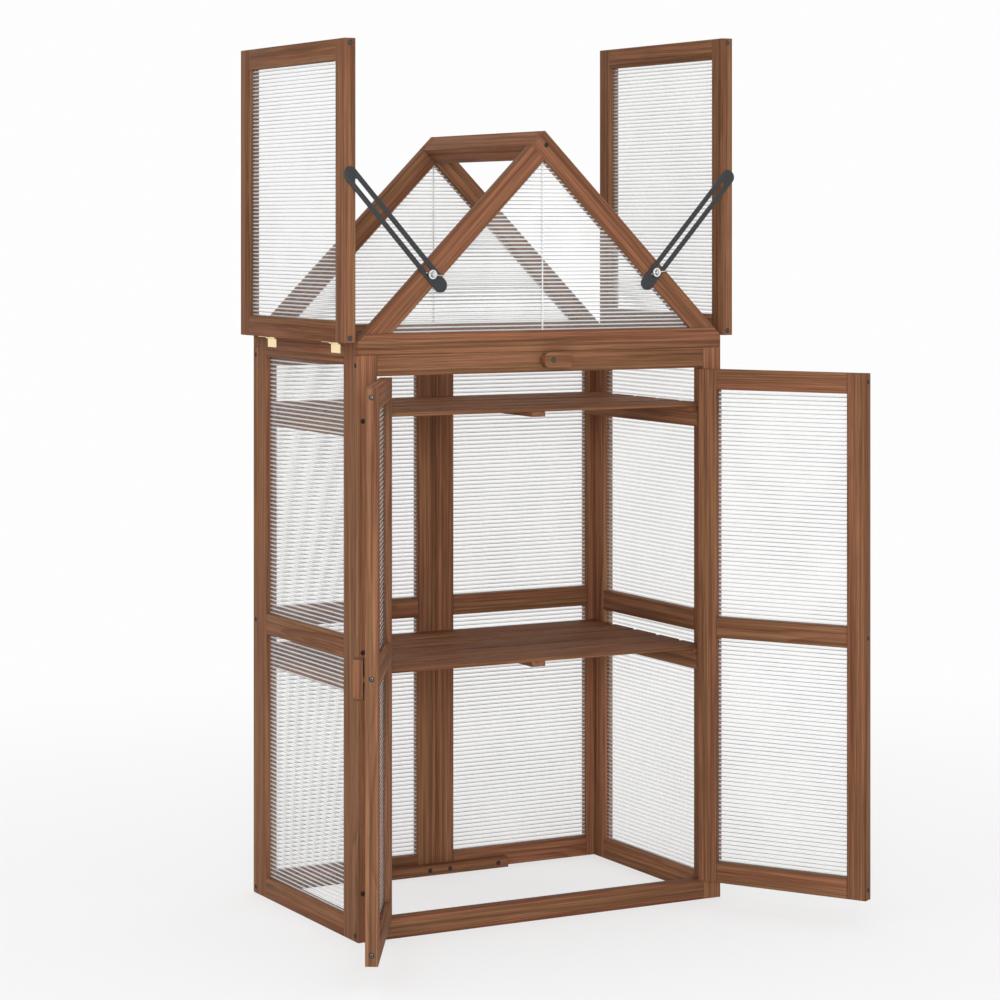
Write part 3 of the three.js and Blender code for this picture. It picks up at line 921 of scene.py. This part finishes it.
# %% Build the turn buttons
pivot = Vector(joint_named("header_button_turn")["pos_m"])
low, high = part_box("header_turn_button")
back = low.y + BUTTON_THICKNESS
parts = turn_button(high.x - pivot.x, pivot.x - low.x, back - pivot.y, high.y - pivot.y)
piece = join(parts, "header_button_block")
piece.data.transform(Matrix.Translation(pivot))
dress(piece, "header_button", FINISH_WOOD, "header_turn_button")

shut = shut_turn("left")
pivot = shut @ Vector(joint_named("door_button_turn")["pos_m"])
low, high = box_of("door_turn_button", shut)
back = low.y + BUTTON_THICKNESS
parts = turn_button(high.z - pivot.z, pivot.z - low.z, back - pivot.y, high.y - pivot.y)
piece = join(parts, "door_button_block")
upright = Matrix.Rotation(-QUARTER_TURN, 4, "Y")
piece.data.transform(shut.inverted() @ Matrix.Translation(pivot) @ upright)
dress(piece, "door_button", FINISH_WOOD, "door_turn_button")
print("turn buttons done")

# %% [markdown]
# ## Metals
#
# Polished brass for the hinges, black painted steel for the stays, bright plated steel for the wing
# nuts and dulled steel for the screws. The holes that the screws sit in are not cut: a dark matt
# finish paints their shade. A faint noise breaks up the gloss of every one of these.

# %% The metal materials
GRIT_FINENESS = 900.0
GRIT_SPREAD = 0.05
GRIT_SHARE = 0.18
GRIT_TONE = 0.6
GRIT_RELIEF = 0.0001


def metal(name, colour, roughness, metallic=1.0):
    material, tree, shader = start_material(name)
    grit = noise_over_piece(tree, GRIT_FINENESS, detail=3.0)
    rough = remap(tree, grit, 0.3, 0.7, roughness - GRIT_SPREAD, roughness + GRIT_SPREAD)
    tree.links.new(rough, shader.inputs["Roughness"])
    duller = tuple(c * GRIT_TONE for c in colour[:3]) + (1,)
    shade = mix_colour(tree, remap(tree, grit, 0.35, 0.7, 0.0, GRIT_SHARE), colour, duller)
    tree.links.new(shade, shader.inputs["Base Color"])
    shader.inputs["Metallic"].default_value = metallic
    bump = add_node(tree, "ShaderNodeBump", Strength=0.2, Distance=GRIT_RELIEF, Height=grit)
    tree.links.new(bump.outputs[0], shader.inputs["Normal"])
    return material


BRASS = metal("polished_brass", (1.0, 0.80, 0.46, 1), 0.26)
BLACK = metal("black_painted_steel", (0.020, 0.021, 0.023, 1), 0.42, metallic=0.0)
BRIGHT = metal("bright_plated_steel", (0.80, 0.81, 0.82, 1), 0.20)
SCREW_STEEL = metal("dulled_screw_steel", (0.11, 0.12, 0.12, 1), 0.42)
# painted shade: a dark matt finish that stands in for the shade inside a screw's countersink
PAINTED_HOLE_SHADE = metal("painted_recess_shade", (0.024, 0.011, 0.007, 1), 0.8, metallic=0.0)

# %% [markdown]
# ## Roof stays
#
# A stay is a flat steel arm with round ends and a long slot. It is cut like the real one: a strip
# with its corners rounded, a slot punched through it, and its edges softened. The stay turns on
# a rivet in the flap and its slot slides over the clamp bolt on the rafter.

# %% Model a stay arm
STAY_SLOT_START = 0.0125
STAY_SLOT_WIDTH = 0.008
STAY_EDGE = 0.0006
RIVET_RADIUS = 0.0055
RIVET_RISE = 0.0005
FULLY_ROUND = 0.4999
WELD = 0.00002


def strip(start, end, width, near, far):
    """A flat strip along X with fully round ends, between two values of Y."""
    low = Vector((start - width / 2, near, -width / 2))
    high = Vector((end + width / 2, far, width / 2))
    piece = cuboid(low, high)
    edit(piece)
    select_parts(piece, "EDGE", runs_along_y)
    bpy.ops.mesh.bevel(offset=width * FULLY_ROUND, segments=ROUND_SEGMENTS, affect="EDGES")
    bpy.ops.mesh.select_all(action="SELECT")
    bpy.ops.mesh.remove_doubles(threshold=WELD)
    bpy.ops.object.mode_set(mode="OBJECT")
    return piece


def punch(piece, tool):
    """Cuts the tool's shape out of the piece and deletes the tool."""
    pick(piece)
    hole = piece.modifiers.new("punch", "BOOLEAN")
    hole.operation = "DIFFERENCE"
    hole.solver = "EXACT"
    hole.object = tool
    bpy.ops.object.modifier_apply(modifier=hole.name)
    bpy.data.objects.remove(tool)


def stay_arm(reach, tail, width, near, far):
    arm = strip(0, tail, width, near, far)
    slot_start = STAY_SLOT_START + STAY_SLOT_WIDTH / 2
    punch(arm, strip(slot_start, reach, STAY_SLOT_WIDTH, near - width, far + width))
    soften(arm, STAY_EDGE)
    deselect()
    bpy.ops.mesh.primitive_cylinder_add(vertices=32, radius=RIVET_RADIUS, depth=RIVET_RISE * 2)
    rivet = bpy.context.object
    rivet.data.transform(Matrix.Translation((0, near, 0)) @ Matrix.Rotation(QUARTER_TURN, 4, "X"))
    soften(rivet, RIVET_RISE * 0.7, segments=3)
    for part in (arm, rivet):
        part.data.materials.append(BLACK)
    return [arm, rivet]


def middle(node):
    low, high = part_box(node)
    return (low + high) / 2


# %% Build the stays
for side in ("left", "right"):
    pivot = Vector(joint_named(f"{side}_stay_pivot")["pos_m"])
    run = middle(f"{side}_stay_clamp") - pivot
    low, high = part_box(f"{side}_stay_arm")
    reach = math.hypot(run.x, run.z)
    lean = math.atan2(-run.z, run.x)
    turn = Matrix.Translation((pivot.x, 0, pivot.z)) @ Matrix.Rotation(lean, 4, "Y")
    away = [turn.inverted() @ v.co for v in frame["nodes"][f"{side}_stay_arm"].data.vertices]
    width = max(v.z for v in away) * 2
    tail = max(v.x for v in away) - width / 2
    piece = join(stay_arm(reach, tail, width, low.y, high.y), f"{side}_stay_steel")
    piece.data.transform(turn)
    dress(piece, f"{side}_stay", "black_stay", f"{side}_stay_arm")
    print(side, "stay reach", round(reach, 4), "width", round(width, 4))

# %% [markdown]
# ## Clamp bolts with wing nuts
#
# The nut is a tapered hub with two wings. A wing starts as a small block that is drawn out and
# shaped a few times and then rounded by subdivision.

# %% Model a wing nut on its bolt
BOLT_RADIUS = 0.003
WASHER_RADIUS = 0.0085
WASHER_THICKNESS = 0.0012
NUT_RADIUS = 0.0062
NUT_LENGTH = 0.007
NUT_TAPER = 0.74
BOLT_TIP = 0.003
WING_TILT = math.radians(10)
# how far the edges of the shaft, the washer and the hub are rounded
SHAFT_EDGE = 0.0005
WASHER_EDGE = 0.0003
HUB_EDGE = 0.0006
# each step outwards: the wing's reach, its height and its thickness, and how far its middle stands up
WING_STEPS = (
    (0.0045, 0.0046, 0.0026, 0.0030),
    (0.0085, 0.0050, 0.0022, 0.0042),
    (0.0130, 0.0074, 0.0021, 0.0062),
    (0.0170, 0.0078, 0.0021, 0.0070),
    (0.0190, 0.0042, 0.0019, 0.0072),
)


def round_bar(radius, start, end, taper=1.0, sides=32):
    """A round bar along Y. Its far end is narrowed by taper."""
    deselect()
    depth = abs(end - start)
    bpy.ops.mesh.primitive_cone_add(vertices=sides, radius1=radius, radius2=radius * taper, depth=depth)
    bar = bpy.context.object
    aim = Matrix.Rotation(QUARTER_TURN if end < start else -QUARTER_TURN, 4, "X")
    bar.data.transform(Matrix.Translation((0, (start + end) / 2, 0)) @ aim)
    return bar


def picked_height(shape):
    """The middle height of the selected points of a mesh in edit mode."""
    heights = [v.co.y for v in shape.verts if v.select]
    return sum(heights) / len(heights)


def wing(way, back):
    """One wing that grows out of the hub along X, to the way side."""
    deselect()
    reach, height, thickness, rise = WING_STEPS[0]
    bpy.ops.mesh.primitive_cube_add(size=1)
    piece = bpy.context.object
    piece.data.transform(Matrix.Diagonal((reach, height, thickness, 1)))
    piece.data.transform(Matrix.Translation((reach / 2, -rise, 0)))
    edit(piece)
    for reach, height, thickness, rise in WING_STEPS[1:]:
        shape = bmesh.from_edit_mesh(piece.data)
        outer = max(v.co.x for v in shape.verts)
        select_parts(piece, "FACE", lambda face: all(abs(v.co.x - outer) < TOUCH for v in face.verts))
        bpy.ops.mesh.extrude_region_move(TRANSFORM_OT_translate={"value": (reach - outer, 0, 0)})
        shape = bmesh.from_edit_mesh(piece.data)
        for vertex in shape.verts:
            if vertex.select:
                vertex.co.y = -rise + math.copysign(height / 2, vertex.co.y - picked_height(shape))
                vertex.co.z = math.copysign(thickness / 2, vertex.co.z)
        bmesh.update_edit_mesh(piece.data)
    bpy.ops.object.mode_set(mode="OBJECT")
    rounded = piece.modifiers.new("rounded", "SUBSURF")
    rounded.levels = rounded.render_levels = 2
    bpy.ops.object.modifier_apply(modifier=rounded.name)
    piece.data.transform(Matrix.Translation((0, back, 0)))
    if way < 0:
        piece.data.transform(Matrix.Rotation(math.pi, 4, "Y"))
    return piece


def clamp(back, seat):
    """A bolt along Y at the origin. The nut and its washer press on the arm, whose face is at seat."""
    washer_front = seat - WASHER_THICKNESS
    nut_front = washer_front - NUT_LENGTH
    shaft = round_bar(BOLT_RADIUS, back, nut_front - BOLT_TIP, sides=24)
    washer = round_bar(WASHER_RADIUS, seat, washer_front)
    hub = round_bar(NUT_RADIUS, washer_front, nut_front, taper=NUT_TAPER)
    soften(shaft, SHAFT_EDGE)
    soften(washer, WASHER_EDGE)
    soften(hub, HUB_EDGE)
    parts = [shaft, washer, hub, wing(1, washer_front), wing(-1, washer_front)]
    for part in parts:
        part.data.materials.append(BRIGHT)
    return parts


# %% Build the clamps
for side, way in (("left", -1), ("right", 1)):
    low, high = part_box(f"{side}_stay_clamp")
    spot = middle(f"{side}_stay_clamp")
    seat = low.y + BOLT_TIP + NUT_LENGTH + WASHER_THICKNESS
    piece = join(clamp(high.y, seat), f"{side}_clamp_nut")
    tilt = Matrix.Rotation(-way * WING_TILT, 4, "Y")
    piece.data.transform(Matrix.Translation((spot.x, 0, spot.z)) @ tilt)
    dress(piece, f"{side}_clamp", "bright_nut", f"{side}_stay_clamp")
print("clamps done")

# %% [markdown]
# ## Hinges
#
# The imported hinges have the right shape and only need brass.

# %% Give the hinges their brass
for node, leaf in frame["nodes"].items():
    if "hinge" in node:
        leaf.data.materials.clear()
        leaf.data.materials.append(BRASS)

# %% [markdown]
# ## Screws
#
# One wood screw is modelled: a domed head with a cross recess on a thin dark disc, which paints the
# shade of its countersink. It is then copied to every place where the joints are screwed, and the
# copies on one body become one piece. A screw that sits deep has its head painted dark too, so that
# it shows only as painted shade of a hole.

# %% Model one screw head
HEAD_RADIUS = 0.0032
SINK_SHADE_RADIUS = 0.0047
HEAD_RISE = 0.0005
CROSS_LENGTH = 0.0036
CROSS_WIDTH = 0.0010
CROSS_DEPTH = 0.0006


def screw_head():
    """A screw head at the origin that looks along +Z, with the wood's face at Z = 0."""
    deselect()
    bpy.ops.mesh.primitive_cylinder_add(vertices=24, radius=HEAD_RADIUS, depth=HEAD_RISE * 2)
    head = bpy.context.object
    soften(head, HEAD_RISE * 0.8)
    for turn in (0, 1):
        bpy.ops.mesh.primitive_cube_add(size=1)
        bar = bpy.context.object
        bar.data.transform(Matrix.Diagonal((CROSS_LENGTH, CROSS_WIDTH, CROSS_DEPTH * 2, 1)))
        spin = Matrix.Rotation(turn * QUARTER_TURN, 4, "Z")
        bar.data.transform(Matrix.Translation((0, 0, HEAD_RISE)) @ spin)
        punch(head, bar)
    head.data.materials.append(SCREW_STEEL)
    deselect()
    # a thin dark disc under the head paints the shade of the countersink
    bpy.ops.mesh.primitive_cylinder_add(vertices=24, radius=SINK_SHADE_RADIUS, depth=HEAD_RISE * 0.6)
    sink_shade_disc = bpy.context.object
    soften(sink_shade_disc, HEAD_RISE * 0.2)
    sink_shade_disc.data.materials.append(PAINTED_HOLE_SHADE)
    return join([sink_shade_disc, head], "screw")


SCREW = screw_head()
print("screw faces:", len(SCREW.data.polygons))

# %% Where the screws go
POST_SCREW_INSET = 0.0096
SIDE_SCREW_HEIGHTS = (0.926, 0.515, 0.087)
RAIL_SCREW_HEIGHTS = (1.0246, 0.0107)
BACK_SCREW_HEIGHTS = (1.027, 0.522, 0.0118)
STRIP_SCREW_SHARES = (-0.85, -0.144, 0.144, 0.85)
DOOR_TOP_SCREW_DROP = 0.0155
FLAP_SCREW_INSET = 0.0085
PEAK_SCREW = (0.0025, 1.4215)


def drive(places, name, body, matrix=None, head_in_painted_shade=False):
    """Copies the screw to each place, a point and where it faces, and makes one piece of them."""
    copies = []
    for point, facing in places:
        copy = SCREW.copy()
        copy.data = SCREW.data.copy()
        # a screw that sits deep gets its head painted dark too, as painted shade of a hole
        if head_in_painted_shade:
            copy.data.materials[1] = PAINTED_HOLE_SHADE
        bpy.context.scene.collection.objects.link(copy)
        aim = Vector(facing).to_track_quat("Z", "Y").to_matrix().to_4x4()
        spin = Matrix.Rotation(draw.uniform(0, math.pi), 4, "Z")
        copy.data.transform(Matrix.Translation(point) @ aim @ spin)
        copies.append(copy)
    piece = join(copies, name)
    if matrix is not None:
        piece.data.transform(matrix)
    dress(piece, body, "black_stay")


def frame_screws():
    low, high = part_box("front_left_post")
    half = -low.x
    post_x = half - POST_SCREW_INSET
    rail_y = (low.y + high.y) / 2
    back_low, back_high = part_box("back_left_frame")
    for way in (-1, 1):
        for z in SIDE_SCREW_HEIGHTS:
            yield (way * post_x, low.y, z), (0, -1, 0)
            yield (way * post_x, back_high.y, z), (0, 1, 0)
        for z in RAIL_SCREW_HEIGHTS:
            yield (way * half, rail_y, z), (way, 0, 0)
        for z in BACK_SCREW_HEIGHTS:
            yield (way * half, (back_low.y + back_high.y) / 2, z), (way, 0, 0)
    strip_low, strip_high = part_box("back_joining_strip")
    for share in STRIP_SCREW_SHARES:
        yield (share * strip_high.x, strip_low.y, strip_high.z / 2), (0, -1, 0)
    peak_x, peak_z = PEAK_SCREW
    yield (peak_x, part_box("front_gable_frame")[0].y, peak_z), (0, -1, 0)
    yield (-peak_x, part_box("back_gable_frame")[1].y, peak_z), (0, 1, 0)


def rail_middles(frame_box, sheet_boxes):
    edges = window_edges(frame_box, sheet_boxes)
    return [(edges[i] + edges[i + 1]) / 2 for i in range(0, len(edges), 2)]


# %% Drive the screws
drive(list(frame_screws()), "frame_screws", "root", head_in_painted_shade=True)
for side, way in (("left", -1), ("right", 1)):
    shut = shut_turn(side)
    low, high = box_of(f"{side}_door_frame", shut)
    sheets = [box_of(f"{side}_door_{level}_sheet", shut) for level in ("lower", "upper")]
    free_edge = high.x if way < 0 else low.x
    heights = rail_middles((low, high), sheets)[:2] + [high.z - DOOR_TOP_SCREW_DROP]
    places = [((free_edge, (low.y + high.y) / 2, z), (-way, 0, 0)) for z in heights]
    drive(places, f"{side}_door_screws", f"{side}_door", shut.inverted(), head_in_painted_shade=way > 0)
    low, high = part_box(f"{side}_flap_frame")
    heights = (low.z + FLAP_SCREW_INSET, high.z - FLAP_SCREW_INSET)
    x = (low.x + high.x) / 2
    places = [((x, y, z), (0, facing, 0)) for y, facing in ((low.y, -1), (high.y, 1)) for z in heights]
    drive(places, f"{side}_flap_screws", f"{side}_flap")

pivot = Vector(joint_named("header_button_turn")["pos_m"])
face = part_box("header_turn_button")[0].y
drive([((pivot.x, face, pivot.z), (0, -1, 0))], "header_button_screw", "header_button")
shut = shut_turn("left")
pivot = shut @ Vector(joint_named("door_button_turn")["pos_m"])
face = box_of("door_turn_button", shut)[0].y
place = (pivot.x, face, pivot.z), (0, -1, 0)
drive([place], "door_button_screw", "door_button", shut.inverted())
bpy.data.objects.remove(SCREW)
print("screws driven")
